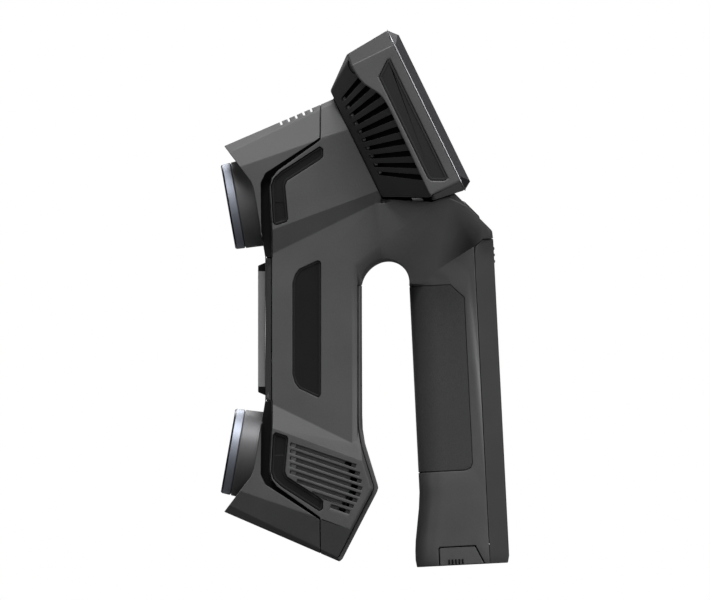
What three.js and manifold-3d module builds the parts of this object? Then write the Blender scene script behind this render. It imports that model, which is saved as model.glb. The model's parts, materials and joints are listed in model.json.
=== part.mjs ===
// Handheld 3-D scanner: two toed-in cameras on a rigid front body, a tilted touch display,
// and a pistol handle that holds a slide-out battery pack.
// Millimetres. +Z is up, the cameras look towards -X, and Y = 0 is the plane of symmetry.
// The origin is the middle of the handle's base.
import * as THREE from 'three';
import { ConvexGeometry } from 'three/addons/geometries/ConvexGeometry.js';
import { mergeVertices } from 'three/addons/utils/BufferGeometryUtils.js';
import Module from 'manifold-3d';

const wasm = await Module();
wasm.setup();

// ---- driving dimensions -------------------------------------------------------------------
const GAP = 0.3; // clearance between neighbouring pieces
const WALL = 3.6; // moulded wall, thick enough to carry the rubber grip's recess
const BODY_MID_Z = 132.2; // the two cameras mirror about this height
const BASELINE = 136.4; // between the two cameras' rims
const TOE_IN = THREE.MathUtils.degToRad(10);
const RIM_X = -131; // centre of each camera's front rim
const HEAD_HALF = 37; // half width of the camera heads
const WAIST_HALF = 32; // half width of the waist at its front edge
const WAIST_FRONT_X = -106.4;
const WAIST_FLARE = 0.0446; // the waist widens by this much per mm towards the handle
const FASCIA_X = -109.8; // front plane between the cameras
const GAP_WALL_X = -56; // body wall beside the fingers
const REAR_BAND = 2.3; // visible edge of the rear cover
const REAR_COVER_HALF = 29.5;
const ARCH = { x: -42.8, z: 156.5, r: 13.2, skew: 0.9 }; // inside of the neck, over the fingers
const NECK_HALF = 34.7;
const NECK_CREASE = { at: [-58.8, 171.9], falls: [0.538, -0.843], lean: THREE.MathUtils.degToRad(27) };
const HANDLE_TILT = THREE.MathUtils.degToRad(2.9);
const HANDLE = { front: -21.7, rear: 26.7, half: 19.5, coverX: 16 };
const GRIP = { low: 53, high: 157, rear: 8.7, thick: 1.8 };
const DISPLAY_TILT = THREE.MathUtils.degToRad(26);
const DISPLAY_AT = [-15.3, 0, 255.6]; // middle of the display glass
const DISPLAY_HALF = 75;
const RIM_R = 23.9; // outer radius of a camera barrel at its rim
const BARREL_FLARE = 0.06; // the barrel widens by this much per mm towards its back
const BORE_R = 25.3; // hole for a barrel in its bezel
const FAR = 400; // longer than the object, for cutting blocks
const ASIDE = 100; // beyond the object's sides

// ---- solids -------------------------------------------------------------------------------
function solidOf(geometry, matrix) {
  const loose = geometry.index ? geometry.toNonIndexed() : geometry.clone();
  const bare = new THREE.BufferGeometry().setAttribute('position', loose.getAttribute('position'));
  if (matrix) bare.applyMatrix4(matrix);
  const merged = mergeVertices(bare, 1e-4);
  return new wasm.Manifold(
    new wasm.Mesh({
      numProp: 3,
      vertProperties: merged.attributes.position.array,
      triVerts: new Uint32Array(merged.index.array),
    }),
  );
}

function geometryOf(solid) {
  const mesh = solid.getMesh();
  const positions = new Float32Array(mesh.numVert * 3);
  for (let i = 0; i < mesh.numVert; i++) {
    positions.set(mesh.vertProperties.subarray(i * mesh.numProp, i * mesh.numProp + 3), i * 3);
  }
  const geometry = new THREE.BufferGeometry();
  geometry.setAttribute('position', new THREE.BufferAttribute(positions, 3));
  geometry.setIndex(new THREE.BufferAttribute(mesh.triVerts, 1));
  geometry.computeVertexNormals();
  return geometry;
}

const join = (solids) => solids.reduce((all, one) => all.add(one));
const cut = (solid, cutters) => cutters.reduce((left, one) => left.subtract(one), solid);

// A flat outline of [x, z] points, extruded across the object from y = low to y = high.
function slab(points, low, high) {
  const shape = new THREE.Shape(points.map(([x, z]) => new THREE.Vector2(x, z)));
  const geometry = new THREE.ExtrudeGeometry(shape, { depth: high - low, bevelEnabled: false });
  geometry.rotateX(Math.PI / 2).translate(0, high, 0);
  return solidOf(geometry);
}

// A flat outline of [x, y] points, extruded upwards from z = low to z = high.
function column(points, low, high) {
  const shape = new THREE.Shape(points.map(([x, y]) => new THREE.Vector2(x, y)));
  const geometry = new THREE.ExtrudeGeometry(shape, { depth: high - low, bevelEnabled: false });
  return solidOf(geometry.translate(0, 0, low));
}

function box(x0, x1, y0, y1, z0, z1) {
  const geometry = new THREE.BoxGeometry(x1 - x0, y1 - y0, z1 - z0);
  return solidOf(geometry.translate((x0 + x1) / 2, (y0 + y1) / 2, (z0 + z1) / 2));
}

function hull(points) {
  return solidOf(new ConvexGeometry(points.map((p) => new THREE.Vector3(...p))));
}

// A profile of [radius, x] points spun about the X axis.
function spin(profile, sides = 40) {
  const geometry = new THREE.LatheGeometry(profile.map(([r, x]) => new THREE.Vector2(r, x)), sides);
  return solidOf(geometry.rotateZ(-Math.PI / 2));
}

// A ring about the X axis.
function ring(inner, outer, x0, x1, sides) {
  return spin([[inner, x0], [outer, x0], [outer, x1], [inner, x1], [inner, x0]], sides);
}

function rod(radius, x0, x1, sides) {
  return spin([[0, x0], [radius, x0], [radius, x1], [0, x1]], sides);
}

// Everything on the outer side of a plane, as a block to cut with.
function beyond(point, normal) {
  const up = new THREE.Vector3(...normal).normalize();
  const turn = new THREE.Quaternion().setFromUnitVectors(new THREE.Vector3(0, 0, 1), up);
  const centre = new THREE.Vector3(...point).addScaledVector(up, FAR / 2);
  const matrix = new THREE.Matrix4().compose(centre, turn, new THREE.Vector3(1, 1, 1));
  return solidOf(new THREE.BoxGeometry(FAR, FAR, FAR), matrix);
}

function turned(solid, radiansAboutY, [x, y, z] = [0, 0, 0]) {
  const matrix = new THREE.Matrix4().makeRotationY(radiansAboutY).setPosition(x, y, z);
  return solid.transform(matrix.elements);
}

const mirrored = (points) => points.map(([x, z]) => [x, 2 * BODY_MID_Z - z]);

// The outline moved inwards (or outwards, for a negative distance) with mitred corners.
function inset(points, distance) {
  const area = points.reduce((sum, [x, z], i) => {
    const [nx, nz] = points[(i + 1) % points.length];
    return sum + x * nz - nx * z;
  }, 0);
  const side = Math.sign(area) * distance;
  return points.map(([x, z], i) => {
    const [px, pz] = points[(i + points.length - 1) % points.length];
    const [nx, nz] = points[(i + 1) % points.length];
    const before = new THREE.Vector2(x - px, z - pz).normalize();
    const after = new THREE.Vector2(nx - x, nz - z).normalize();
    const bisector = new THREE.Vector2(-before.y - after.y, before.x + after.x);
    const scale = side / (1 + before.dot(after));
    return [x + bisector.x * scale, z + bisector.y * scale];
  });
}

// The same cut on both sides: a plane through [x, halfWidth, z] whose normal leans from Y
// by `lean` radians towards the [x, z] direction given.
function sideFacets([x, half, z], [dx, dz], lean) {
  const length = Math.hypot(dx, dz);
  return [-1, 1].map((side) =>
    beyond(
      [x, side * half, z],
      [(dx / length) * Math.sin(lean), side * Math.cos(lean), (dz / length) * Math.sin(lean)],
    ),
  );
}

const deg = THREE.MathUtils.degToRad;

// ---- outlines, seen from the side -----------------------------------------------------------
const VISOR_TIP = [-133.2, 234.6];
const ROOF_SLOPE = 0.431; // rise of the head's roof towards the handle
const HEAD_OUTLINE = [
  VISOR_TIP,
  [-118.4, 215],
  [-116.6, 211],
  [-110.3, 173],
  [-106, 160],
  [-50, 180],
  [-45.1, 206],
  [-71.9, VISOR_TIP[1] + 61.3 * ROOF_SLOPE],
];
// The back of the body, from the arch beside the fingers down to the lower corner.
const BACK_LINE = [
  [GAP_WALL_X, 156.5],
  [GAP_WALL_X, 84],
  [-55.5, 76],
  [-54.3, 68.5],
  [-52.6, 62.5],
  [-47.3, 45.4],
  [-46.8, 43.2],
  [-47.6, 40.8],
  [-66.9, 3.4],
  [-68.6, 1.9],
];
const LOWER_HEAD_OUTLINE = [
  ...mirrored(HEAD_OUTLINE.slice(0, 4)),
  [-106, 104.4],
  [-62, 100],
  ...BACK_LINE.slice(1),
];
const WAIST_OUTLINE = [
  [FASCIA_X, 86.4],
  [GAP_WALL_X, 60.4],
  [GAP_WALL_X, 204],
  [FASCIA_X, 178],
];
// Where the camera bezel ends, and where the side shell starts; a trench lies between them.
const BEZEL_EDGE = [
  [-110.6, 172.8],
  [-112.3, 186],
  [-112.6, 213.8],
  [-110, 219.3],
  [-80.4, 238.5],
  [-79.5, 239.6],
  [-79.3, 268],
];
const SHELL_EDGE = [
  [-106.1, 172.2],
  [-106.1, 184.8],
  [-107.6, 212.2],
  [-106.7, 216.4],
  [-103.2, 220.9],
  [-80.1, 237.4],
  [-79.2, 238.6],
  [-78.9, 268],
];
const IN_FRONT = [[-145, 268], [-145, 172.5]]; // closes a camera zone ahead of the object
const TRENCH_HALF = 31;
const LIGHT_BAR = [
  [-106.8, 212.4],
  [-105.4, 216.4],
  [-101.2, 220.4],
  [-79.6, 234.3],
  [-77.8, 233],
  [-77.8, 228.5],
  [-79.4, 227],
  [-98, 215],
  [-99.1, 212.2],
  [-97.4, 193.8],
  [-98.3, 192.1],
  [-104.3, 190.2],
  [-105.7, 191.6],
];
const NAMEPLATE_TOP = [
  [-79, 132.2],
  [-79, 168.8],
  [-79.7, 170.2],
  [-81.2, 170.4],
  [-91.2, 165.7],
  [-93.6, 162.4],
  [-94.9, 158],
];
const NAMEPLATE = [...NAMEPLATE_TOP, ...mirrored(NAMEPLATE_TOP.slice(1)).reverse()];

// ---- the handle and neck, one sweep round the fingers ---------------------------------------
// Half sections in (distance from the fingers, half width): a rounded front, flat sides and a
// chamfered back. `inward` gives the surface that much further in.
const FRONT_ARC_STEPS = 9;
function halfSection({ near, far, half, nose, noseDepth, backDepth, back }, inward) {
  const points = [[near + inward, 0]];
  for (let i = 0; i <= FRONT_ARC_STEPS; i++) {
    const angle = (i / FRONT_ARC_STEPS) * (Math.PI / 2);
    const depth = (noseDepth - inward) * (1 - Math.cos(angle));
    const noseHalf = Math.max(nose - inward, 0.5);
    points.push([near + inward + depth, noseHalf + (half - inward - noseHalf) * Math.sin(angle)]);
  }
  points.push([far - backDepth, half - inward]);
  points.push([far - inward, Math.max(back - inward / 2, 1)]);
  points.push([far - inward, 0]);
  return points;
}

// How far the neck reaches from the arch's centre at an angle: to the handle's back line, the
// sloping shoulder, or the underside of the display.
const SHOULDER = { sum: 204.1, corner: [16.6, 187.5], cornerSlope: 1.7, top: 210 };
function neckReach(angle) {
  const [c, s] = [Math.cos(angle), Math.sin(angle)];
  const sin = Math.sin(HANDLE_TILT);
  const cos = Math.cos(HANDLE_TILT);
  const reaches = [(HANDLE.rear - cos * ARCH.x - sin * ARCH.z) / (cos * c + sin * s)];
  if (s > 0) {
    reaches.push((SHOULDER.sum - ARCH.x - ARCH.z) / (c + s));
    const { corner, cornerSlope } = SHOULDER;
    reaches.push((cornerSlope * (corner[0] - ARCH.x) + corner[1] - ARCH.z) / (cornerSlope * c + s));
    reaches.push((SHOULDER.top - ARCH.z) / s);
  }
  return Math.min(...reaches.filter((reach) => reach > 0), 50 + 30 * Math.max(c, 0));
}

const NECK_ANGLES = [
  2.9, 8, 13, 18, 23, 27, 29, 31, 33, 36, 42, 48, 54, 60, 66, 72, 78, 84, 90,
  97, 104, 112, 120, 128, 137, 146, 155, 164, 172, 180,
];
const smooth = THREE.MathUtils.smoothstep;
const mix = THREE.MathUtils.lerp;

function neckSection(angle, wide) {
  const shoulder = smooth(angle, deg(18), deg(40));
  return {
    near: ARCH.r + ARCH.skew * Math.sin(2 * angle),
    far: neckReach(angle),
    half: wide ? NECK_HALF : HANDLE.half,
    nose: wide ? 23 : mix(5, 12, smooth(angle, 0, 1.5)),
    noseDepth: wide ? 9 : 14.5,
    backDepth: mix(10.7, 4, shoulder),
    back: mix(9, wide ? 30 : 14.5, shoulder),
  };
}

// The handle's front flares at the base; its back is straight.
const HANDLE_HEIGHTS = [0, 4, 9, 15, 21, 27, 33, 42, 80, 120];
function handleSection(height) {
  const flare = 1 - smooth(height, 6, 44);
  const foot = 1 - smooth(height, -2, 4);
  return {
    near: HANDLE.front - 4.1 * flare + 0.8 * foot,
    far: HANDLE.rear - 1.2 * foot,
    half: HANDLE.half + 0.8 * flare - 0.5 * foot,
    nose: 5,
    noseDepth: 14.5,
    backDepth: 10.7 - 1.2 * foot,
    back: 9,
  };
}

function sweep(inward, { low = 0, endAngle = 180, wide = false } = {}) {
  const tilt = new THREE.Matrix4().makeRotationY(-HANDLE_TILT);
  const rings = (wide ? [] : HANDLE_HEIGHTS).map((height) => {
    const z = height === 0 ? low : height;
    return halfSection(handleSection(height), inward).map(([x, y]) =>
      new THREE.Vector3(x, y, z).applyMatrix4(tilt),
    );
  });
  for (const angle of NECK_ANGLES.filter((a) => a <= endAngle).map(deg)) {
    rings.push(
      halfSection(neckSection(angle, wide), inward).map(
        ([r, y]) => new THREE.Vector3(ARCH.x + r * Math.cos(angle), y, ARCH.z + r * Math.sin(angle)),
      ),
    );
  }
  return solidOf(loft(rings));
}

// A closed surface through half rings that start and end on the plane of symmetry.
function loft(halfRings) {
  const rings = halfRings.map((half) => [
    ...half,
    ...half.slice(1, -1).reverse().map((p) => new THREE.Vector3(p.x, -p.y, p.z)),
  ]);
  const count = rings[0].length;
  const positions = [];
  const triangle = (a, b, c) => positions.push(...a.toArray(), ...b.toArray(), ...c.toArray());
  for (let k = 0; k + 1 < rings.length; k++) {
    for (let i = 0; i < count; i++) {
      const j = (i + 1) % count;
      triangle(rings[k][i], rings[k + 1][j], rings[k][j]);
      triangle(rings[k][i], rings[k + 1][i], rings[k + 1][j]);
    }
  }
  const [first, last] = [rings[0], rings.at(-1)];
  for (let i = 1; i + 1 < count; i++) {
    triangle(first[0], first[i], first[i + 1]);
    triangle(last[0], last[i + 1], last[i]);
  }
  const geometry = new THREE.BufferGeometry();
  geometry.setAttribute('position', new THREE.Float32BufferAttribute(positions, 3));
  return geometry;
}

function inHandle(solid) {
  return turned(solid, -HANDLE_TILT);
}

// ---- the body, as one block before it is split into its mouldings ----------------------------
function bodyBlock() {
  const across = (points) => slab(points, -HEAD_HALF, HEAD_HALF);
  const roofLean = [-ROOF_SLOPE, 1];
  const facets = [
    ...sideFacets([-124.3, HEAD_HALF, 222.9], [-0.345, 1], deg(21)),
    ...sideFacets([-129.9, 33.2, 231.3], roofLean, deg(48)),
    ...sideFacets([-106.4, HEAD_HALF, 187.6], [0.37, -1], deg(21.6)),
  ];
  const flip = new THREE.Matrix4().makeScale(1, 1, -1).setPosition(0, 0, 2 * BODY_MID_Z);
  const upper = cut(across(HEAD_OUTLINE), facets);
  const lower = cut(across(LOWER_HEAD_OUTLINE), [
    ...facets.map((facet) => facet.transform(flip.elements)),
    ...lowerBackFacets(),
  ]);
  const waist = cut(across(WAIST_OUTLINE), [...waistSides(), ...waistBackFacets()]);
  const { at, falls, lean } = NECK_CREASE;
  const crease = sideFacets([at[0], NECK_HALF, at[1]], falls, lean);
  const neck = cut(sweep(0, { wide: true }), [...waistSides(), ...crease, underDisplay()]);
  const handle = cut(sweep(0, { endAngle: 137 }), [underDisplay()]);
  return join([upper, lower, waist, neck, handle]);
}

// Room for the display's lower edge above the neck.
function underDisplay() {
  const edge = [
    [-60, 206.2],
    [-45.9, 205.2],
    [-16.8, 203.4],
    [1.5, 209.8],
    [30, 240],
    [-60, 240],
  ];
  return slab(edge, -ASIDE, ASIDE);
}

function waistSides() {
  const flare = Math.atan(WAIST_FLARE);
  return [
    ...sideFacets([WAIST_FRONT_X, WAIST_HALF, 0], [-1, 0], flare),
    ...sideFacets([WAIST_FRONT_X, WAIST_HALF, 0], [-1, 0], deg(50)),
  ];
}

// The side shells roll over towards the rear cover along the body's back.
function waistBackFacets() {
  return [
    ...sideFacets([GAP_WALL_X - 5.5, 34, 100], [1, 0], deg(30)),
    ...sideFacets([GAP_WALL_X - 2.7, 32.4, 100], [1, 0], deg(62)),
  ];
}

function lowerBackFacets() {
  const line = BACK_LINE;
  return [
    ...sideFacets([line[4][0] - 4.6, HEAD_HALF, line[4][1]], [17, 5.3], deg(36)),
    ...sideFacets([line[4][0] - 2.4, 33.4, line[4][1]], [17, 5.3], deg(60)),
    ...sideFacets([line[7][0] - 4.6, HEAD_HALF, line[7][1]], [37.4, -19.3], deg(36)),
    ...sideFacets([line[7][0] - 2.4, 34.4, line[7][1]], [37.4, -19.3], deg(60)),
  ];
}

const zone = (edge, grow = 0) => slab(inset([...edge, ...IN_FRONT], -grow), -60, 60);
const lowerZone = (edge, grow = 0) =>
  slab(inset(mirrored([...edge, ...IN_FRONT]), -grow), -60, 60);

const ROOM_HALF = 31.5; // half width of the room behind the light bars
function bodyCavity() {
  const upperRoom = [
    [-103, 189.5],
    [-103.5, 209],
    [-100, 217],
    [-72, 232],
    [-52, 212],
    [-52, 208],
  ];
  const lowerRoom = [
    [-103, 74],
    [-103.5, 55.4],
    [-100, 45],
    [-73, 32],
    [-62, 46],
    [-68, 62],
  ];
  const roof = [
    [-103, 190],
    [-115, 212],
    [-121, 223],
    [-118, 232.5],
    [-76, 250.8],
    [-56, 204],
  ];
  const waistRoom = [
    [FASCIA_X + 4.5, 60],
    [GAP_WALL_X - 6.5, 60],
    [GAP_WALL_X - 6.5, 200],
    [FASCIA_X + 4.5, 205],
  ];
  const lowerCorner = [
    [-103, 74.4],
    [-115, 52.4],
    [-121, 41.4],
    [-118, 31.9],
    [-72.5, 12],
    [-56, 43.5],
    [-62.5, 70],
  ];
  return join([
    slab(upperRoom, -ROOM_HALF, ROOM_HALF),
    slab(roof, -28, 28),
    slab(waistRoom, -28, 28),
    slab(lowerCorner, -28, 28),
    slab(lowerRoom, -ROOM_HALF, ROOM_HALF),
  ]);
}

// ---- colours ----------------------------------------------------------------------------------
function finish(hex, roughness, metalness = 0) {
  return new THREE.MeshStandardMaterial({ color: hex, roughness, metalness });
}
const SHELL = finish(0x4d4d4e, 0.55);
const COVER = finish(0x3c3c3d, 0.6);
const TRIM = finish(0x1c1c1d, 0.35);
const RUBBER = finish(0x383839, 0.85);
const METAL = finish(0x2b2c2e, 0.35, 0.8);
const ALUMINIUM = finish(0x9a9b9d, 0.35, 1);
const GLASS = finish(0x0b0c10, 0.05);
const LENS = finish(0x14182a, 0.02);
const DIFFUSER = finish(0xd8dadd, 0.4);
const BOARD = finish(0x14402c, 0.6);
const CELL = finish(0x3a6ea5, 0.5);

const scanner = new THREE.Group();
function add(name, solid, material, group = scanner) {
  const mesh = new THREE.Mesh(geometryOf(solid), material);
  mesh.name = name;
  group.add(mesh);
  return mesh;
}

function frameAt([x, y, z], radiansAboutY) {
  const group = new THREE.Group();
  group.position.set(x, y, z);
  group.rotation.y = radiansAboutY;
  scanner.add(group);
  return group;
}

// ---- vents ------------------------------------------------------------------------------------
// Eight slanted slots in each side of the lower head. They are shallow, and go right through
// the wall only near their two ends.
const SIDE_VENT = {
  angle: deg(-18.5),
  first: [-96.2, 67.6],
  pitch: 3.85,
  height: 2,
  starts: [-96.2, -96.2, -96.2, -96.2, -96.2, -92.5, -84, -73.5],
  ends: [-59.4, -57.4, -56.4, -56, -57, -58.8, -60.8, -62.8],
  floor: 34.9,
};
function sideVents() {
  const { angle, first, pitch, height, starts, ends, floor } = SIDE_VENT;
  return starts.flatMap((start, row) => {
    const z = first[1] - row * pitch + (start - first[0]) * Math.tan(angle);
    const length = (ends[row] - start) / Math.cos(angle);
    const low = -height / 2;
    const shapes = [
      [0, length, floor, ASIDE],
      [length - 6.4, length - 2.6, 25, floor + 1],
    ];
    if (start === first[0]) shapes.push([0.4, 3.4, 25, floor + 1]);
    const both = shapes.flatMap(([from, to, y0, y1]) => [
      box(from, to, y0, y1, low, -low),
      box(from, to, -y1, -y0, low, -low),
    ]);
    return turned(join(both), -angle, [start, 0, z]);
  });
}

// Five slots across the roof of the upper head.
function roofVents() {
  const angle = Math.atan(ROOF_SLOPE);
  return [0, 1, 2, 3, 4].map((i) => {
    const x = -101.6 + i * 4.2;
    const z = VISOR_TIP[1] + (x - VISOR_TIP[0]) * ROOF_SLOPE;
    const notch = join([box(-0.6, 0.6, -ASIDE, ASIDE, -1.9, 3), box(-0.6, 0.6, -21, 21, -12, 3)]);
    return turned(notch, -angle, [x, 0, z]);
  });
}

// ---- body mouldings -----------------------------------------------------------------------------
function buildBody() {
  const block = bodyBlock();
  const cavity = bodyCavity();
  const trenchFloor = box(-145, -60, -TRENCH_HALF, TRENCH_HALF, 0, 268);
  const bores = [1, -1].map((side) => turned(rod(BORE_R, -5, 40, 64), -side * TOE_IN, cameraAt(side)));
  const hollow = [cavity, ...bores];
  const tongueRoom = box(-145, WAIST_FRONT_X + 0.4, -24.4, 24.4, 90, 174.2);

  const upperBezel = join([
    block.intersect(zone(BEZEL_EDGE)),
    block.intersect(zone(SHELL_EDGE, -GAP)).intersect(trenchFloor),
  ]);
  const lowerBezel = join([
    block.intersect(lowerZone(BEZEL_EDGE)),
    block.intersect(lowerZone(SHELL_EDGE, -GAP)).intersect(trenchFloor),
  ]);
  add('upper_camera_bezel', cut(upperBezel, [...hollow, tongueRoom, ...roofVents()]), SHELL);
  add('lower_camera_bezel', cut(lowerBezel, [...hollow, tongueRoom, portOpening()]), SHELL);

  const fasciaZone = join([
    box(-145, WAIST_FRONT_X - GAP, -TRENCH_HALF, TRENCH_HALF, 92.6, 171.8),
    box(FASCIA_X + 0.6, WAIST_FRONT_X - GAP, -24, 24, 91, 173.4),
  ]);
  const fascia = cut(block.intersect(fasciaZone), [windowOpening()]);
  add('front_fascia', fascia, COVER);

  const rearZone = slab([...BACK_LINE, ...[...offsetBackLine(REAR_BAND)].reverse()], -60, 60);
  const rearCut = slab([...pushedBackLine(1), ...[...offsetBackLine(REAR_BAND + GAP)].reverse()], -60, 60);
  const rearSides = box(-FAR, FAR, -REAR_COVER_HALF, REAR_COVER_HALF, -FAR, FAR);
  add('rear_cover', block.intersect(rearZone).intersect(rearSides), SHELL);

  const cuts = [
    zone(SHELL_EDGE),
    lowerZone(SHELL_EDGE),
    box(-145, WAIST_FRONT_X, -60, 60, 92, 172.4),
    rearCut,
    ...hollow,
    windowOpening(),
    sweep(WALL, { low: -1, endAngle: 137 }),
    gripRecess(),
    inHandle(coverZone(GAP)),
    inHandle(latchNotch(GAP)),
    ...sideVents(),
    ...recess(LIGHT_BAR, HEAD_HALF - 3.2),
    ...recess(mirrored(LIGHT_BAR), HEAD_HALF - 3.2),
    ...recess(NAMEPLATE, 30.6),
    shoulderPocket(),
  ];
  const shell = cut(block, cuts);
  const left = box(-FAR, FAR, -FAR, -GAP / 2, -FAR, FAR);
  const right = box(-FAR, FAR, GAP / 2, FAR, -FAR, FAR);
  add('left_main_shell', shell.intersect(left), SHELL);
  add('right_main_shell', shell.intersect(right), SHELL);
}

// The body's back line moved forwards by a distance.
function offsetBackLine(distance) {
  const closed = inset([...BACK_LINE, [-100, -30], [-100, 156.5]], distance);
  const line = closed.slice(0, BACK_LINE.length);
  line[0] = [GAP_WALL_X - distance, 156.5];
  return line;
}

function pushedBackLine(distance) {
  const line = offsetBackLine(-distance);
  line[0] = [GAP_WALL_X + distance, 156.5 + GAP];
  return line;
}

// A pocket of the outline's shape in both sides, open outwards from |y| = floor.
function recess(outline, floor) {
  return [slab(outline, floor, ASIDE), slab(outline, -ASIDE, -floor)];
}

// Thin pieces that fill such a pocket on the left (-Y) and right side.
function insert(outline, floor, height) {
  const shape = inset(outline, GAP);
  return {
    left: slab(shape, -floor - height, -floor - GAP),
    right: slab(shape, floor + GAP, floor + height),
  };
}

function buildSideTrim() {
  const upper = insert(LIGHT_BAR, HEAD_HALF - 3.2, 1.7);
  const lower = insert(mirrored(LIGHT_BAR), HEAD_HALF - 3.2, 1.7);
  const plate = insert(NAMEPLATE, 30.6, 1.1);
  add('upper_light_bar_left', upper.left, TRIM);
  add('upper_light_bar_right', upper.right, TRIM);
  add('lower_light_bar_left', lower.left, TRIM);
  add('lower_light_bar_right', lower.right, TRIM);
  add('nameplate_left', plate.left, TRIM);
  add('nameplate_right', plate.right, TRIM);
}

// ---- the port under the lower head, and its hinged cover ----------------------------------------
const PORT = { x: -92, length: 16, half: 9, slope: -Math.atan(ROOF_SLOPE) };
const portAt = [PORT.x, 0, 2 * BODY_MID_Z - VISOR_TIP[1] - (PORT.x - VISOR_TIP[0]) * ROOF_SLOPE];
function portOpening() {
  return turned(box(-PORT.length / 2, PORT.length / 2, -PORT.half, PORT.half, -1, 12), -PORT.slope, portAt);
}

function buildPort() {
  const group = frameAt(portAt, -PORT.slope);
  const edge = GAP + 0.1;
  const [along, across] = [PORT.length / 2 - edge, PORT.half - edge];
  const cover = box(-along, along, -across, across, 0, 2.2);
  add('port_cover', cover, RUBBER, group);
  const socket = cut(box(-4.5, 4.5, -6, 6, 3.2, 10), [box(-1.6, 1.6, -4.5, 4.5, 3, 8)]);
  add('data_port', socket, ALUMINIUM, group);
}

// ---- cameras --------------------------------------------------------------------------------------
function cameraAt(side) {
  return [RIM_X, 0, BODY_MID_Z + (side * BASELINE) / 2];
}

// Each camera lies along X in its own frame, with its rim at x = 0 and its back at higher x.
function buildCamera(prefix, side) {
  const group = frameAt(cameraAt(side), -side * TOE_IN);
  const outer = (x) => RIM_R + x * BARREL_FLARE;
  const bore = 20.2;
  const wide = outer(18);
  const barrel = [[bore, 5.6], [outer(5.6), 5.6], [wide, 18], [wide, 23.5], [bore, 23.5], [bore, 5.6]];
  add(prefix + '_camera_barrel', spin(barrel, 64), METAL, group);
  const trim = [[bore, 1.4], [22.6, 0], [23.4, 0], [RIM_R, 0.8], [outer(5.3), 5.3], [bore, 5.3], [bore, 1.4]];
  add(prefix + '_trim_ring', spin(trim, 64), ALUMINIUM, group);
  add(prefix + '_light_diffuser', ring(12.6, 19.9, 1.6, 3.4, 40), DIFFUSER, group);
  const cell = [[7.4, 1], [12.2, 1], [12.2, 21], [5, 21], [5, 10], [7.4, 7], [7.4, 1]];
  add(prefix + '_lens_cell', spin(cell, 32), METAL, group);
  const lens = [[0, 2.4], [3.6, 2.8], [7.1, 3.8], [7.1, 5.6], [0, 6.2]];
  add(prefix + '_front_lens', spin(lens, 32), LENS, group);
  add(prefix + '_image_sensor', box(23.9, 27.4, -17, 17, -17, 17), BOARD, group);
}

// ---- projector window between the cameras ---------------------------------------------------------
const WINDOW = { low: 97, high: 167.4, half: 22, front: -114.2 };
function windowOpening() {
  return box(-120, -100, -WINDOW.half + 6, WINDOW.half - 6, WINDOW.low + 6, WINDOW.high - 6);
}

function buildWindow() {
  const { low, high, half, front } = WINDOW;
  const back = FASCIA_X - GAP;
  const outline = [
    [back, low - 2],
    [front + 0.4, low - 0.4],
    [front, low],
    [front, high],
    [front + 0.4, high + 0.4],
    [back, high + 2],
  ];
  const pane = box(front - 1, front + 1.5, -half + 3, half - 3, low + 6, high - 6);
  const opening = box(front - 1, back + 1, -half + 6, half - 6, low + 9, high - 9);
  add('window_frame', cut(slab(outline, -half, half), [pane, opening]), COVER);
  const glassHalf = half - 3 - GAP;
  const glass = box(front + 0.1, front + 1.2, -glassHalf, glassHalf, low + 6 + GAP, high - 6 - GAP);
  add('projector_window', glass, GLASS);
  const sides = [-1, 1];
  for (const side of sides) {
    const name = side > 0 ? 'upper_laser_module' : 'lower_laser_module';
    const module = turned(rod(7, 0, 18, 24), 0, [front + 6, 0, BODY_MID_Z + side * 20]);
    add(name, module, ALUMINIUM);
  }
  add('texture_camera', turned(rod(5.5, 0, 16, 24), 0, [front + 6, 0, BODY_MID_Z]), METAL);
}

// ---- display ----------------------------------------------------------------------------------------
// In the display's frame x runs out through the glass, y across it and z up it.
const RIM_SIDE = [
  [-23.6, -45.8],
  [-22.8, 12],
  [-23.1, 16.5],
  [-24.1, 20.2],
  [-25.7, 23.4],
  [-27.6, 26.4],
  [-29.4, 29.6],
  [-30.7, 33.4],
  [-31.3, 38],
  [-31.4, 43],
  [-30.8, 48.9],
  [-4.8, 51],
  [-4.8, -48.5],
];
function displayHousing() {
  const root = { x: -48.2, low: -31.5, high: 34.5, half: 36.6 };
  const both = [-1, 1];
  const flare = hull(
    both.flatMap((side) => [
      [root.x, side * root.half, root.low],
      [root.x, side * root.half, root.high],
      [-20, side * 69, -45.6],
      [-20, side * 69, 47],
      [-29.5, side * 66, 47],
      [-30.8, side * 60, 48.9],
    ]),
  );
  const corner = (z, lean) => both.map((side) => beyond([-10, side * DISPLAY_HALF, z], [0, side, lean]));
  const edges = [...corner(42, 0.7), ...corner(-42.5, -0.8)];
  const rim = cut(slab(RIM_SIDE, -DISPLAY_HALF, DISPLAY_HALF), edges);
  const flareRoom = hull(
    both.flatMap((side) => [
      [root.x - 0.5, side * (root.half - 3.5), root.low + 3],
      [root.x - 0.5, side * (root.half - 3.5), root.high - 3.5],
      [-20, side * 66, -43],
      [-20, side * 66, 43],
      [-27, side * 61, 43],
    ]),
  );
  const rimRoom = box(-20, 2, -71.5, 71.5, -44.6, 46.8);
  const strapNotches = both.map((side) => box(-29, -22.4, side * 69 - 7, side * 69 + 7, -50, -43.4));
  return cut(join([cut(flare, displayVents()), rim]), [flareRoom, rimRoom, ...strapNotches]);
}

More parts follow.
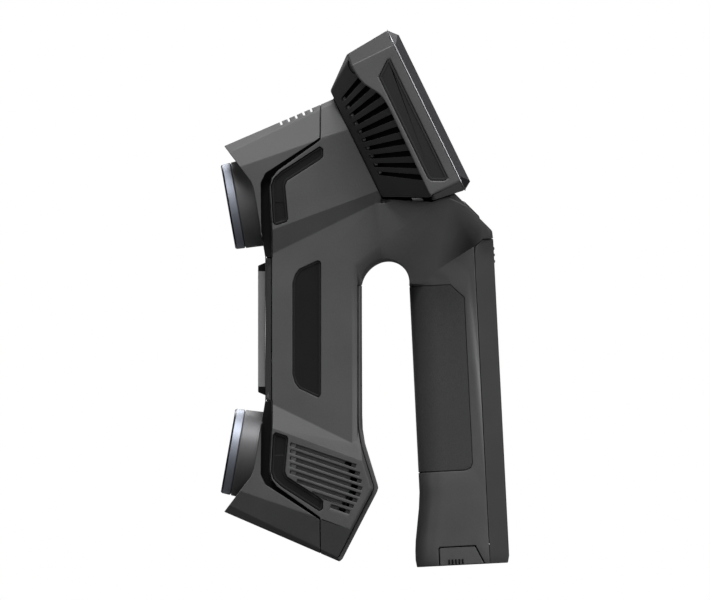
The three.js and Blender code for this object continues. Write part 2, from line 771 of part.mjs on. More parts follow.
// Ten slots fan out over each flared side of the housing, widening towards the rim.
const FAN_VENT = {
  count: 10,
  rootX: -44.6,
  tipX: -20,
  innerTop: 26.9,
  innerStep: 5.04,
  outerTop: 37.5,
  outerStep: 7.9,
};
function displayVents() {
  const { count, rootX, tipX, innerTop, innerStep, outerTop, outerStep } = FAN_VENT;
  return Array.from({ length: count }, (_, i) => {
    const inner = innerTop - i * innerStep;
    const outer = outerTop - i * outerStep;
    const wedge = [
      [rootX, inner - 1.15],
      [tipX, outer - 1.9],
      [tipX, outer + 1.9],
      [rootX, inner + 1.15],
    ];
    return [slab(wedge, 30, FLARE_REACH), slab(wedge, -FLARE_REACH, -30)];
  }).flat();
}
const FLARE_REACH = 72.4; // the slots stay inside the rim's side walls

const SIDE_PAD = [
  [-20.4, 29.6],
  [-12, 36],
  [-10.4, 36],
  [-10.4, -38.4],
  [-13, -38.6],
  [-19.6, -35.2],
  [-20.4, -33],
];

function buildDisplay() {
  const group = frameAt(DISPLAY_AT, -DISPLAY_TILT);
  const padCuts = recess(SIDE_PAD, DISPLAY_HALF - 1.6);
  add('display_housing', cut(displayHousing(), padCuts), SHELL, group);
  const pads = insert(SIDE_PAD, DISPLAY_HALF - 1.6, 1.5);
  add('side_pad_left', pads.left, RUBBER, group);
  add('side_pad_right', pads.right, RUBBER, group);

  const back = -4.8 + GAP;
  const ringPoints = (x, half, low, high) =>
    [-1, 1].flatMap((side) => [[x, side * half, low], [x, side * half, high]]);
  const frustum = hull([
    ...ringPoints(back, DISPLAY_HALF - 0.2, -48.3, 50.8),
    ...ringPoints(0, 70.6, -45.4, 45.8),
  ]);
  const opening = box(-8, 3, -68.5, 68.5, -43.2, 43.2);
  const corners = [[50.8, 0.7], [-48.3, -0.8]].flatMap(([z, lean]) =>
    [-1, 1].map((side) => beyond([back, side * (DISPLAY_HALF - 6), z - Math.sign(z) * 1.6], [0, side, lean])),
  );
  add('display_bezel', cut(frustum, [opening, ...corners]), METAL, group);
  add('display_glass', box(-1.9, -0.3, -68.1, 68.1, -42.8, 42.8), GLASS, group);
  add('display_panel', box(-6.6, -2.3, -66, 66, -41, 41), TRIM, group);
  add('main_board', box(-13.4, -11.8, -55, 55, -32, 34), BOARD, group);
  add('heat_sink', heatSink(), ALUMINIUM, group);
  const fanAt = -31;
  const housing = cut(box(fanAt, fanAt + 10, -21, 21, -20, 22), [
    turned(rod(18.5, -1, 8.4, 40), 0, [fanAt, 0, 1]),
  ]);
  add('fan_housing', housing, TRIM, group);
  add('fan_rotor', turned(fanRotor(), 0, [fanAt, 0, 1]), TRIM, group);
}

function heatSink() {
  const fins = Array.from({ length: 9 }, (_, i) => box(-20, -16.2, -31 + i * 7.5, -29.4 + i * 7.5, -26, 28));
  return join([box(-16.4, -13.8, -31, 30.6, -26, 28), ...fins]);
}

function fanRotor() {
  const blades = Array.from({ length: 9 }, (_, i) => {
    const blade = box(1.2, 6.6, 6.5, 17.2, -0.6, 0.6);
    const matrix = new THREE.Matrix4().makeRotationX((i * 2 * Math.PI) / 9);
    return blade.transform(matrix.elements);
  });
  return join([rod(7.6, 1, 7.6, 32), ...blades]);
}

// ---- handle -------------------------------------------------------------------------------------------
const GRIP_OUTLINE = [
  [-30, GRIP.high],
  [1.2, GRIP.high],
  [GRIP.rear, GRIP.high - 7.5],
  [GRIP.rear, GRIP.low + 4],
  [GRIP.rear - 1.2, GRIP.low + 1.2],
  [GRIP.rear - 4, GRIP.low],
  [-30, GRIP.low],
];

function gripRecess() {
  const around = inHandle(slab(inset(GRIP_OUTLINE, -GAP), -40, 40));
  return around.subtract(sweep(GRIP.thick + GAP, { endAngle: 28 }));
}

// The strip along the handle's back, up to the shoulder.
function coverZone(grow) {
  const outline = [
    [HANDLE.coverX - grow, -5],
    [60, -5],
    [60, 181.5 + grow],
    [HANDLE.coverX + 5, 181.5 + grow],
    [HANDLE.coverX - grow, 177.2 + grow],
  ];
  return slab(outline, -40, 40);
}

const LATCH = [
  [-12.4, 9.6],
  [-11.6, 10.4],
  [8, 10.4],
  [14.2, -3],
  [-12.4, -3],
];
function latchNotch(grow) {
  const outline = inset(LATCH, -grow);
  return join([slab(outline, -40, -12), slab(outline, 12, 40)]);
}

// Cuts the room for the scan key and its switch out of the shoulder.
const SCAN_KEY = { x: 5.2, z: 199.1, half: 7, width: 11 };
function shoulderPocket() {
  return turned(
    box(-SCAN_KEY.half - GAP, SCAN_KEY.half + GAP, -SCAN_KEY.width - GAP, SCAN_KEY.width + GAP, -9, 6),
    deg(45),
    [SCAN_KEY.x, 0, SCAN_KEY.z],
  );
}

function buildHandle() {
  const grip = inHandle(slab(GRIP_OUTLINE, -40, 40)).intersect(sweep(0)).subtract(sweep(GRIP.thick));
  add('rubber_grip', grip, RUBBER);

  const rocker = { z: 172.5, half: 5.2, width: 5.6 };
  const cover = inHandle(coverZone(0)).intersect(sweep(0)).subtract(sweep(2.6, { low: -1 }));
  const [holeWidth, holeHalf] = [rocker.width + GAP, rocker.half + GAP];
  const rockerHole = inHandle(
    box(20, 40, -holeWidth, holeWidth, rocker.z - holeHalf, rocker.z + holeHalf),
  );
  const notch = inHandle(latchNotch(GAP));
  add('handle_rear_cover', cut(cover, [rockerHole, notch]), COVER);

  const group = frameAt([0, 0, 0], -HANDLE_TILT);
  const face = HANDLE.rear;
  const ridgeWidth = rocker.width - 0.8;
  const ridges = [-3.6, 0, 3.6].map((dz) =>
    box(face - 0.2, face + 0.45, -ridgeWidth, ridgeWidth, rocker.z + dz - 0.7, rocker.z + dz + 0.7),
  );
  const [keyLow, keyHigh] = [rocker.z - rocker.half, rocker.z + rocker.half];
  const key = box(face - 4.6, face, -rocker.width, rocker.width, keyLow, keyHigh);
  add('function_rocker', join([key, ...ridges]), TRIM, group);
  add('button_board', box(face - 8.4, face - 6.8, -8.5, 8.5, 161, 179), BOARD, group);
  const shoulder = frameAt([SCAN_KEY.x, 0, SCAN_KEY.z], deg(45));
  const { half, width } = SCAN_KEY;
  const scanKey = hull(
    [-1, 1].flatMap((sx) =>
      [-1, 1].flatMap((sy) => [
        [sx * half, sy * (width - 3), -3.4],
        [sx * (half - 3), sy * width, -3.4],
        [sx * half, sy * (width - 3), -0.1],
        [sx * (half - 3), sy * width, -0.1],
        [sx * (half - 1.4), sy * (width - 4), 0.5],
        [sx * (half - 4), sy * (width - 1.4), 0.5],
      ]),
    ),
  );
  add('scan_button', scanKey, TRIM, shoulder);
  add('scan_switch', box(-3, 3, -3, 3, -8.6, -4.6), TRIM, shoulder);
  buildBattery(group);
}

const CELL_R = 9.1;
const CELL_LENGTH = 65;
function buildBattery(group) {
  const front = HANDLE.front + WALL + 0.5;
  const packOutline = [
    [front, -4.8],
    [front + 6, -13],
    [front + 9, -14],
    [14.5, -14],
    [22.6, -6.6],
    [22.6, 6.6],
    [14.5, 14],
    [front + 9, 14],
    [front + 6, 13],
    [front, 4.8],
  ];
  const cellX = [-7, 11.6];
  const tray = cut(column(packOutline, 11.2, 146), [column(inset(packOutline, 1.2), 12.6, 150)]);
  add('battery_tray', tray, TRIM, group);
  cellX.forEach((x, columnIndex) =>
    [13, 78.5].forEach((z, row) => {
      const cell = new THREE.CylinderGeometry(CELL_R, CELL_R, CELL_LENGTH, 20).rotateX(Math.PI / 2);
      cell.translate(x, 0, z + CELL_LENGTH / 2);
      add('battery_cell_' + (columnIndex * 2 + row + 1), solidOf(cell), CELL, group);
    }),
  );
  add('battery_contacts', box(-8, 12, -7, 7, 147, 150), ALUMINIUM, group);
  const cap = cut(column(packOutline, 0, 10.8), [latchPocket()]);
  add('battery_cap', cap, COVER, group);
  for (const side of [-1, 1]) {
    const outer = side * (HANDLE.half + 0.3);
    const inner = side * 12.2;
    const above = box(-FAR, FAR, -FAR, FAR, 0.2, FAR);
    const plate = slab(inset(LATCH, GAP), Math.min(inner, outer), Math.max(inner, outer)).intersect(above);
    add(side < 0 ? 'battery_latch_left' : 'battery_latch_right', plate, SHELL, group);
  }
}

function latchPocket() {
  const outline = inset(LATCH, -0.1);
  return join([slab(outline, -40, -9.6), slab(outline, 9.6, 40)]);
}

// ---- inside the body --------------------------------------------------------------------------------
function buildInside() {
  const bench = cut(box(-96, -91, -20, 20, 40, 224), [
    box(-100, -90, -12, 12, 96, 168),
  ]);
  add('optical_bench', bench, ALUMINIUM);
  const boardOutline = [
    [-89, 22],
    [-73, 16],
    [-61, 41],
    [-64.5, 66],
    [-64.5, 150],
    [-89, 150],
  ];
  add('processing_board', slab(boardOutline, -0.8, 0.8), BOARD);
}

buildBody();
buildSideTrim();
buildPort();
buildCamera('upper', 1);
buildCamera('lower', -1);
buildWindow();
buildDisplay();
buildHandle();
buildInside();

export default scanner;
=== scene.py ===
# Looks of the handheld 3-D scanner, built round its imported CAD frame. Metres, +Z up,
# the cameras look towards -X and Y = 0 is the plane of symmetry.
import json
import math

import bmesh
import bpy
from mathutils import Matrix, Vector


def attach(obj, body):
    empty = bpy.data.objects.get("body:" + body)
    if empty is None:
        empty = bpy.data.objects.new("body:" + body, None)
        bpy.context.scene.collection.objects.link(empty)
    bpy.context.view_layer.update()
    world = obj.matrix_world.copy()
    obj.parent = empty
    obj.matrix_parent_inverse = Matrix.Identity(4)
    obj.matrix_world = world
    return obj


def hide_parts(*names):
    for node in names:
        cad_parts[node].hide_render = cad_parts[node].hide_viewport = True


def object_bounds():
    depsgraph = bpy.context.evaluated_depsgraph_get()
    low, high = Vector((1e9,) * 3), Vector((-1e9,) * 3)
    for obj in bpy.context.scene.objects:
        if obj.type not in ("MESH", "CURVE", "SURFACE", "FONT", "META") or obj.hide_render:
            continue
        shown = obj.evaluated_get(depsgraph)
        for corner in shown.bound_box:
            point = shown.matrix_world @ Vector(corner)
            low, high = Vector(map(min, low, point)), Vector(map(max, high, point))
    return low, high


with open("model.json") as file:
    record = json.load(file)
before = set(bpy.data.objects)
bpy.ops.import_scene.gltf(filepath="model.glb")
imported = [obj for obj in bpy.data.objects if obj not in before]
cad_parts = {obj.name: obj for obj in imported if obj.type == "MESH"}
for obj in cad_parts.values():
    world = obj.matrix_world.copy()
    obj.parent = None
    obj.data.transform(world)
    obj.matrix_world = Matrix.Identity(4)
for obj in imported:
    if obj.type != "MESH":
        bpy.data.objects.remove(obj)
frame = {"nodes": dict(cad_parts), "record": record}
CAD_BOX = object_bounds()
NODES = frame["nodes"]
RECORD = frame["record"]
BODY_OF = {node: body for body, names in RECORD["behaviour"]["bodies"].items() for node in names}
SLOT_OF = {part["node"]: part["material_slot"] for part in RECORD["subparts"]}
MM = 0.001

# ---- dimensions shared with the CAD, in millimetres -------------------------------------------
BODY_MID_Z = 132.2
BASELINE = 136.4
TOE_IN = math.radians(10)
RIM_X = -131
DISPLAY_AT = (-15.3, 0, 255.6)
DISPLAY_TILT = math.radians(26)
HANDLE_TILT = math.radians(2.9)

# ---- node graph helpers -------------------------------------------------------------------------


class Graph:
    """A material's node tree, with short calls for the nodes that the finishes share."""

    def __init__(self, name):
        self.material = bpy.data.materials.new(name)
        self.material.use_nodes = True
        self.tree = self.material.node_tree
        self.shader = self.tree.nodes["Principled BSDF"]
        self.at = self.add("ShaderNodeTexCoord").outputs["Object"]

    def add(self, kind, **inputs):
        made = self.tree.nodes.new(kind)
        for name, value in inputs.items():
            self.feed(made.inputs[name.replace("_", " ")], value)
        return made

    def feed(self, socket, value):
        if isinstance(value, bpy.types.NodeSocket):
            self.tree.links.new(value, socket)
        else:
            socket.default_value = value

    def set(self, **inputs):
        for name, value in inputs.items():
            self.feed(self.shader.inputs[name.replace("_", " ")], value)

    def noise(self, scale, detail=2.0, at=None, roughness=0.5):
        made = self.add("ShaderNodeTexNoise", Vector=at or self.at, Scale=scale, Detail=detail,
                        Roughness=roughness)
        return made.outputs["Fac"]

    def remap(self, value, low, high, to_low=0.0, to_high=1.0):
        made = self.add("ShaderNodeMapRange", Value=value)
        for index, number in ((1, low), (2, high), (3, to_low), (4, to_high)):
            made.inputs[index].default_value = number
        return made.outputs["Result"]

    def maths(self, operation, first, second=0.0):
        made = self.tree.nodes.new("ShaderNodeMath")
        made.operation = operation
        self.feed(made.inputs[0], first)
        self.feed(made.inputs[1], second)
        return made.outputs[0]

    def mix(self, factor, first, second):
        made = self.tree.nodes.new("ShaderNodeMix")
        made.data_type = "RGBA"
        self.feed(made.inputs[0], factor)
        self.feed(made.inputs[6], first)
        self.feed(made.inputs[7], second)
        return made.outputs[2]

    def bump(self, height, distance, strength=1.0):
        made = self.add("ShaderNodeBump", Height=height, Strength=strength, Distance=distance)
        self.feed(self.shader.inputs["Normal"], made.outputs["Normal"])

    def edges(self, radius, gain):
        """1 along the edges of the shape, 0 on its open faces."""
        bevel = self.add("ShaderNodeBevel", Radius=radius)
        bevel.samples = 4
        true = self.add("ShaderNodeNewGeometry").outputs["Normal"]
        dot = self.tree.nodes.new("ShaderNodeVectorMath")
        dot.operation = "DOT_PRODUCT"
        self.feed(dot.inputs[0], bevel.outputs["Normal"])
        self.feed(dot.inputs[1], true)
        bent = self.maths("SUBTRACT", 1.0, dot.outputs["Value"])
        return self.remap(bent, 0.0, 1.0 / gain)


def shade(colour, factor):
    return (*(channel * factor for channel in colour), 1.0)


GRAIN = 1500  # moulded grain, features per metre


def moulded(name, colour, roughness, grain=GRAIN, depth=0.05, wear=0.5, specular=0.5):
    """Moulded plastic: fine spark-eroded grain, cloudy colour and gloss, edges rubbed paler."""
    g = Graph(name)
    cloud = g.noise(28, 4)
    speck = g.noise(grain, 2, roughness=0.6)
    blend = g.maths("ADD", g.maths("MULTIPLY", cloud, 0.6), g.maths("MULTIPLY", speck, 0.4))
    tone = g.remap(blend, 0.35, 0.65)
    body = g.mix(tone, shade(colour, 0.86), shade(colour, 1.14))
    rubbed = g.maths("MULTIPLY", g.edges(0.5 * MM, 5), g.remap(g.noise(90, 3), 0.35, 0.6, 0.25, wear))
    g.set(Base_Color=g.mix(rubbed, body, shade(colour, 2.1)))
    g.set(Roughness=g.maths("ADD", g.remap(cloud, 0.3, 0.7, roughness - 0.05, roughness + 0.05),
                            g.remap(speck, 0.3, 0.7, -0.04, 0.04)))
    g.shader.inputs["Specular IOR Level"].default_value = specular
    g.bump(speck, depth * MM, 0.6)
    return g.material


def soft_rubber(name, colour, roughness=0.75, specular=0.3):
    """Overmoulded rubber: tight pebbled skin and a dusty sheen."""
    g = Graph(name)
    pebble = g.add("ShaderNodeTexVoronoi", Vector=g.at, Scale=2400.0).outputs["Distance"]
    cloud = g.noise(35, 4)
    body = g.mix(g.remap(cloud, 0.3, 0.7), shade(colour, 0.85), shade(colour, 1.15))
    pitted = g.mix(g.remap(pebble, 0.25, 0.6), body, shade(colour, 0.75))
    g.set(Base_Color=pitted)
    g.set(Roughness=g.remap(cloud, 0.3, 0.7, roughness - 0.06, roughness + 0.06))
    g.shader.inputs["Specular IOR Level"].default_value = specular
    g.shader.inputs["Sheen Weight"].default_value = 0.08
    g.shader.inputs["Sheen Roughness"].default_value = 0.4
    g.bump(pebble, 0.05 * MM, 0.6)
    return g.material


def turned_metal(name, colour, roughness, metallic=1.0):
    """Metal turned on a lathe, with fine rings along its profile. Needs the lathe's UV map."""
    g = Graph(name)
    uv = g.add("ShaderNodeTexCoord").outputs["UV"]
    stretch = g.add("ShaderNodeMapping", Vector=uv)
    stretch.inputs["Scale"].default_value = (2.0, 400.0, 1.0)
    rings = g.noise(3.0, 3, at=stretch.outputs["Vector"])
    cloud = g.noise(45, 3)
    g.set(Base_Color=g.mix(g.remap(rings, 0.3, 0.7), shade(colour, 0.82), shade(colour, 1.15)))
    g.set(Roughness=g.maths("ADD", g.remap(rings, 0.3, 0.7, roughness - 0.05, roughness + 0.05),
                            g.remap(cloud, 0.3, 0.7, -0.03, 0.03)))
    g.shader.inputs["Metallic"].default_value = metallic
    g.bump(rings, 0.01 * MM, 0.5)
    return g.material


def cast_metal(name, colour, roughness):
    """Plain milled aluminium with faint cutter marks."""
    g = Graph(name)
    stretch = g.add("ShaderNodeMapping", Vector=g.at)
    stretch.inputs["Scale"].default_value = (60.0, 60.0, 1600.0)
    marks = g.noise(1.0, 3, at=stretch.outputs["Vector"])
    g.set(Base_Color=g.mix(g.remap(marks, 0.3, 0.7), shade(colour, 0.85), shade(colour, 1.1)))
    g.set(Roughness=g.remap(marks, 0.3, 0.7, roughness - 0.06, roughness + 0.06))
    g.shader.inputs["Metallic"].default_value = 1.0
    return g.material


def glossy(name, colour, roughness, coat=0.5):
    """Smooth dark plastic under a clear hard coat, with faint wipe marks."""
    g = Graph(name)
    smears = g.noise(55, 5)
    g.set(Base_Color=g.mix(g.remap(smears, 0.3, 0.7), shade(colour, 0.85), shade(colour, 1.15)))
    g.set(Roughness=g.remap(smears, 0.3, 0.7, roughness - 0.04, roughness + 0.06))
    g.shader.inputs["Coat Weight"].default_value = coat
    g.shader.inputs["Coat Roughness"].default_value = 0.08
    return g.material


def clear_glass(name, colour, transmission, roughness=0.03):
    g = Graph(name)
    smears = g.noise(40, 4)
    g.set(Base_Color=g.mix(g.remap(smears, 0.3, 0.7), shade(colour, 0.95), shade(colour, 1.0)))
    g.set(Roughness=g.remap(smears, 0.35, 0.7, roughness, roughness + 0.03))
    g.shader.inputs["Transmission Weight"].default_value = transmission
    g.shader.inputs["IOR"].default_value = 1.5
    return g.material


def circuit_board(name, colour):
    """Solder mask over copper tracks: straight runs in two directions and round pads."""
    g = Graph(name)
    cells = g.add("ShaderNodeTexVoronoi", Vector=g.at, Scale=420.0)
    cells.distance = "CHEBYCHEV"
    tracks = g.remap(cells.outputs["Distance"], 0.28, 0.32)
    g.set(Base_Color=g.mix(tracks, shade(colour, 1.0), shade(colour, 1.9)))
    g.set(Roughness=g.remap(g.noise(200), 0.3, 0.7, 0.3, 0.42))
    g.bump(tracks, 0.04 * MM, 0.6)
    return g.material


FINISH = {
    "shell": moulded("shell_plastic", (0.062, 0.062, 0.063), 0.5),
    "spine": moulded("spine_plastic", (0.068, 0.068, 0.069), 0.46),
    "cover": moulded("cover_plastic", (0.04, 0.04, 0.041), 0.56, grain=1900),
    "front": moulded("front_plastic", (0.018, 0.018, 0.0185), 0.5),
    "display_side": moulded("display_plastic", (0.06, 0.06, 0.061), 0.46),
    "trim": glossy("trim_plastic", (0.012, 0.012, 0.0125), 0.3),
    "inset_rim": moulded("inset_rim_plastic", (0.012, 0.012, 0.0123), 0.45, depth=0.02, wear=0.3,
                         specular=0.2),
    # groove: near-black painted shade in the trench between bezel and shell and inside the strap eyelets
    "groove": moulded("groove_painted_shade", (0.006, 0.006, 0.006), 0.75, wear=0.1, specular=0.1),
    # flare: darker finish as painted shade on the flare's walls under the display's rim
    "flare": moulded("flare_painted_shade", (0.026, 0.026, 0.0265), 0.5, specular=0.3),
    "pad_field": soft_rubber("pad_field_rubber", (0.012, 0.012, 0.0125)),
    # stop: pale finish as a painted highlight on the lit ends of the display's vent slots
    "stop": moulded("vent_stop_painted_highlight", (0.16, 0.16, 0.16), 0.45),
    "rim_black": turned_metal("black_anodised_metal", (0.012, 0.013, 0.02), 0.3, metallic=0.6),
    # A bright metal for the tube round the display bezel: a painted highlight along the bezel's edge.
    "highlight_line_metal": cast_metal("painted_highlight_line_metal", (0.42, 0.42, 0.44), 0.3),
    "inset": moulded("inset_plastic", (0.008, 0.008, 0.0082), 0.5, depth=0.03, wear=0.2, specular=0.15),
    # black: real black parts, and painted shade on the linings that close seams and slots from inside
    "black": moulded("black_plastic_and_painted_shade", (0.006, 0.006, 0.006), 0.7, depth=0.03, wear=0.2, specular=0.1),
    "rubber": soft_rubber("grip_rubber", (0.052, 0.052, 0.0525)),
    "pad": soft_rubber("pad_rubber", (0.018, 0.018, 0.0185)),
    "barrel": turned_metal("anodised_metal", (0.14, 0.14, 0.144), 0.55, metallic=0.75),
    "bright": turned_metal("bright_metal", (0.31, 0.33, 0.385), 0.55),
    "bezel": moulded("bezel_plastic", (0.014, 0.014, 0.0175), 0.4, depth=0.02, wear=0.7),
    "metal": cast_metal("milled_aluminium", (0.6, 0.6, 0.61), 0.35),
    "window_side": moulded("window_surround_plastic", (0.2, 0.2, 0.205), 0.35, depth=0.02),
    "glass": glossy("touch_glass", (0.006, 0.006, 0.0075), 0.05, coat=1.0),
    "window": clear_glass("tinted_window", (0.35, 0.36, 0.38), 0.9),
    "lens": clear_glass("coated_lens", (0.55, 0.6, 0.85), 0.85, roughness=0.01),
    "diffuser": glossy("milky_diffuser", (0.55, 0.56, 0.58), 0.35, coat=0.2),
    "board": circuit_board("circuit_board", (0.012, 0.075, 0.035)),
    "cell": glossy("cell_sleeve", (0.03, 0.1, 0.28), 0.3),
}

# ---- mesh helpers -------------------------------------------------------------------------------


def place(at, tilt):
    """A frame turned about Y, as the CAD groups are. Lengths inside it are in millimetres."""
    return Matrix.Translation(Vector(at) * MM) @ Matrix.Rotation(tilt, 4, "Y") @ Matrix.Scale(MM, 4)


WORLD = place((0, 0, 0), 0)
DISPLAY = place(DISPLAY_AT, -DISPLAY_TILT)
HANDLE = place((0, 0, 0), -HANDLE_TILT)
LEFT, RIGHT = -1, 1


SLIVER = 0.12  # thinner faces than this are merged into their neighbours


def cleaned(node):
    """A CAD node's mesh with its flat faces merged, as a bmesh."""
    bm = bmesh.new()
    bm.from_mesh(NODES[node].data)
    bmesh.ops.remove_doubles(bm, verts=bm.verts, dist=0.02 * MM)
    bmesh.ops.dissolve_degenerate(bm, edges=bm.edges, dist=0.02 * MM)
    bmesh.ops.dissolve_limit(bm, angle_limit=math.radians(1.2), verts=bm.verts, edges=bm.edges)
    bmesh.ops.dissolve_degenerate(bm, edges=bm.edges, dist=SLIVER * MM)
    return bm


NECK_FRONT_X = -62 * MM  # behind this the shells are one soft sweep, ahead of it they are facets
NECK_TOP_Z = 206 * MM


def in_sweep(spot):
    return spot.x > NECK_FRONT_X and spot.z < NECK_TOP_Z


def piece_from(bm, name, finishes, body, slot, rounding=0.0, width_at=None, segments=2, sharp=None,
               swept=False):
    """Turns a bmesh into a piece of the object that rides on a body. Edges are rounded by a bevel
    as wide as width_at(edge, angle in degrees) says, up to the rounding. A swept piece keeps its
    smooth normals inside the sweep."""
    bmesh.ops.recalc_face_normals(bm, faces=bm.faces)
    if rounding:
        bmesh.ops.triangulate(bm, faces=[f for f in bm.faces if len(f.verts) > 4])
        weights = bm.edges.layers.float.new("bevel_weight_edge")
        for edge in bm.edges:
            angle = math.degrees(edge.calc_face_angle(0))
            wide = width_at(edge, angle) if width_at else (rounding if angle > 25 else 0)
            edge[weights] = min(1.0, wide / rounding)
    mesh = bpy.data.meshes.new(name)
    bm.to_mesh(mesh)
    bm.free()
    for polygon in mesh.polygons:
        polygon.use_smooth = True
    if sharp:
        mesh.set_sharp_from_angle(angle=math.radians(sharp))
    for finish in finishes.split():
        mesh.materials.append(FINISH[finish])
    piece = bpy.data.objects.new(name, mesh)
    bpy.context.scene.collection.objects.link(piece)
    if rounding:
        bevel = piece.modifiers.new("rounding", "BEVEL")
        bevel.width = rounding * MM
        bevel.segments = segments
        bevel.limit_method = "WEIGHT"
        bevel.use_clamp_overlap = False
    facets = piece.vertex_groups.new(name="facets")
    facets.add([v.index for v in mesh.vertices if not (swept and in_sweep(v.co))], 1.0, "REPLACE")
    even = piece.modifiers.new("flat_faces", "WEIGHTED_NORMAL")
    even.mode = "FACE_AREA"
    even.weight = 100
    even.keep_sharp = True
    even.vertex_group = "facets"
    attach(piece, body)
    return piece


def refine(node, finishes, rounding=0.4, shape=None, **options):
    """A cleaned, edge-rounded piece in place of a CAD node. shape edits its bmesh first."""
    bm = cleaned(node)
    if shape:
        shape(bm)
    piece = piece_from(bm, node + "_fine", finishes, BODY_OF[node], SLOT_OF[node], rounding, **options)
    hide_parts(node)
    return piece


def prism(bm, outline, low, high, axes):
    """Adds a flat [x, z] outline of a set of axes, extruded across it from y = low to y = high."""
    ends = [[bm.verts.new(axes @ Vector((x, y, z))) for x, z in outline] for y in (low, high)]
    bm.faces.new(ends[0])
    bm.faces.new(reversed(ends[1]))
    for i in range(len(outline)):
        j = (i + 1) % len(outline)
        bm.faces.new((ends[0][i], ends[1][i], ends[1][j], ends[0][j]))


def lathe(bm, profile, axes, sides=96):
    """Adds a closed profile of [radius, x], spun about a set of axes' X axis, with a UV map."""
    uv = bm.loops.layers.uv.verify()
    rings = []
    for i in range(sides):
        turn = 2 * math.pi * i / sides
        rings.append([bm.verts.new(axes @ Vector((x, r * math.cos(turn), r * math.sin(turn))))
                      for r, x in profile])
    along = [0.0]
    for (r0, x0), (r1, x1) in zip(profile, profile[1:] + profile[:1]):
        along.append(along[-1] + math.hypot(r1 - r0, x1 - x0) / 50)
    for i in range(sides):
        here, there = rings[i], rings[(i + 1) % sides]
        for k in range(len(profile)):
            n = (k + 1) % len(profile)
            face = bm.faces.new((here[k], here[n], there[n], there[k]))
            corners = ((i, k), (i, k + 1), (i + 1, k + 1), (i + 1, k))
            for loop, (turn, step) in zip(face.loops, corners):
                loop[uv].uv = (turn / sides, along[step])


def loop_tube(bm, points, radius, axes, sides=8):
    """Adds a thin closed tube along a loop of points of a set of axes."""
    spots = [Vector(p) for p in points]
    count = len(spots)
    turns = [2 * math.pi * k / sides for k in range(sides)]
    rings = []
    for i, spot in enumerate(spots):
        ahead = (spots[(i + 1) % count] - spots[i - 1]).normalized()
        side = ahead.cross(Vector((1, 0, 0))).normalized()
        up = side.cross(ahead)
        rings.append([bm.verts.new(axes @ (spot + radius * (side * math.cos(t) + up * math.sin(t))))
                      for t in turns])
    for i in range(count):
        skin(bm, rings[i], rings[(i + 1) % count])


def skin(bm, here, there):
    """Joins two rings of vertices with quads."""
    count = len(here)
    for k in range(count):
        n = (k + 1) % count
        bm.faces.new((here[k], here[n], there[n], there[k]))


ROUND_SIDES = 24
TURNS = [2 * math.pi * k / ROUND_SIDES for k in range(ROUND_SIDES)]

# ---- body mouldings -------------------------------------------------------------------------------
ROOF_ROUNDING = 2.2
CREASE_ROUNDING = 0.45
WINDOW_ENDS = (99.9, 164.5)
WINDOW_CAP_FROM = 32.3  # the caps start this far above and below the body's middle


def shell_edges(edge, angle):
    """Wide rounding along the heads' roofs, narrow on every other crease. Inside the sweep only
    steep edges are rounded, and not those between two faces of a side."""
    spot = (edge.verts[0].co + edge.verts[1].co) / 2
    aside = [abs(f.normal.y) for f in edge.link_faces]
    if in_sweep(spot):
        return 0.4 if angle > 30 and min(aside, default=0) < 0.85 else 0
    if angle < 5:
        return 0
    upright = max((abs(f.normal.z) for f in edge.link_faces), default=0)
    roof = upright > 0.75 and max(aside, default=0) > 0.7 and angle > 30 and abs(spot.y) > 22 * MM
    outer = abs(spot.z - BODY_MID_Z * MM) > 100 * MM
    if roof and outer and edge.calc_length() > 6 * MM:
        return ROOF_ROUNDING
    return CREASE_ROUNDING


def display_edges(edge, angle):
    """Soft edges on the display's rim, tight ones round the vent slots."""
    ends = [DISPLAY.inverted() @ v.co for v in edge.verts]
    if angle < 12 or edge.calc_length() < 1.0 * MM:
        return 0
    slot = any(-45 < p.x < -19 and abs(p.y) < 71 and abs(p.z) < 38 for p in ends)
    return 0.2 if slot else 0.9


def display_shape(bm):
    """The flare's side walls behind the display's rim take a darker finish than the rim: painted shade under
    the rim's overhang.
    """
    inverse = DISPLAY.inverted()
    for face in bm.faces:
        spot = inverse @ face.calc_center_median()
        if spot.x < -19 and abs(spot.y) < 74 and abs((inverse.to_3x3() @ face.normal).normalized().y) > 0.2:
            face.material_index = 1


def groove_shape(bm):
    """The floor and walls of the trench between bezel and shell get a near-black finish: painted shade in the
    trench.
    """
    for face in bm.faces:
        spot = face.calc_center_median() / MM
        deep = 29.5 < abs(spot.y) < 34.5 and abs(face.normal.y) > 0.995
        walls = 29.5 < abs(spot.y) < 35.5 and abs(face.normal.y) < 0.3 and face.calc_area() < 400 * MM * MM
        if spot.x < -79 and abs(spot.z - BODY_MID_Z) > 38 and (deep or walls):
            face.material_index = 1


def split_level(bm, height):
    """Cuts every face that crosses a height, in millimetres, without removing anything."""
    bmesh.ops.bisect_plane(bm, geom=bm.verts[:] + bm.edges[:] + bm.faces[:],
                           plane_co=(0, 0, height * MM), plane_no=(0, 0, 1))


def window_shape(bm):
    """Black caps on both ends of the window's surround."""
    for end in WINDOW_ENDS:
        split_level(bm, end)
    for face in bm.faces:
        if abs(face.calc_center_median().z / MM - BODY_MID_Z) > WINDOW_CAP_FROM:
            face.material_index = 1


def crease(width, above=12):
    return lambda edge, angle: width if angle > above else 0


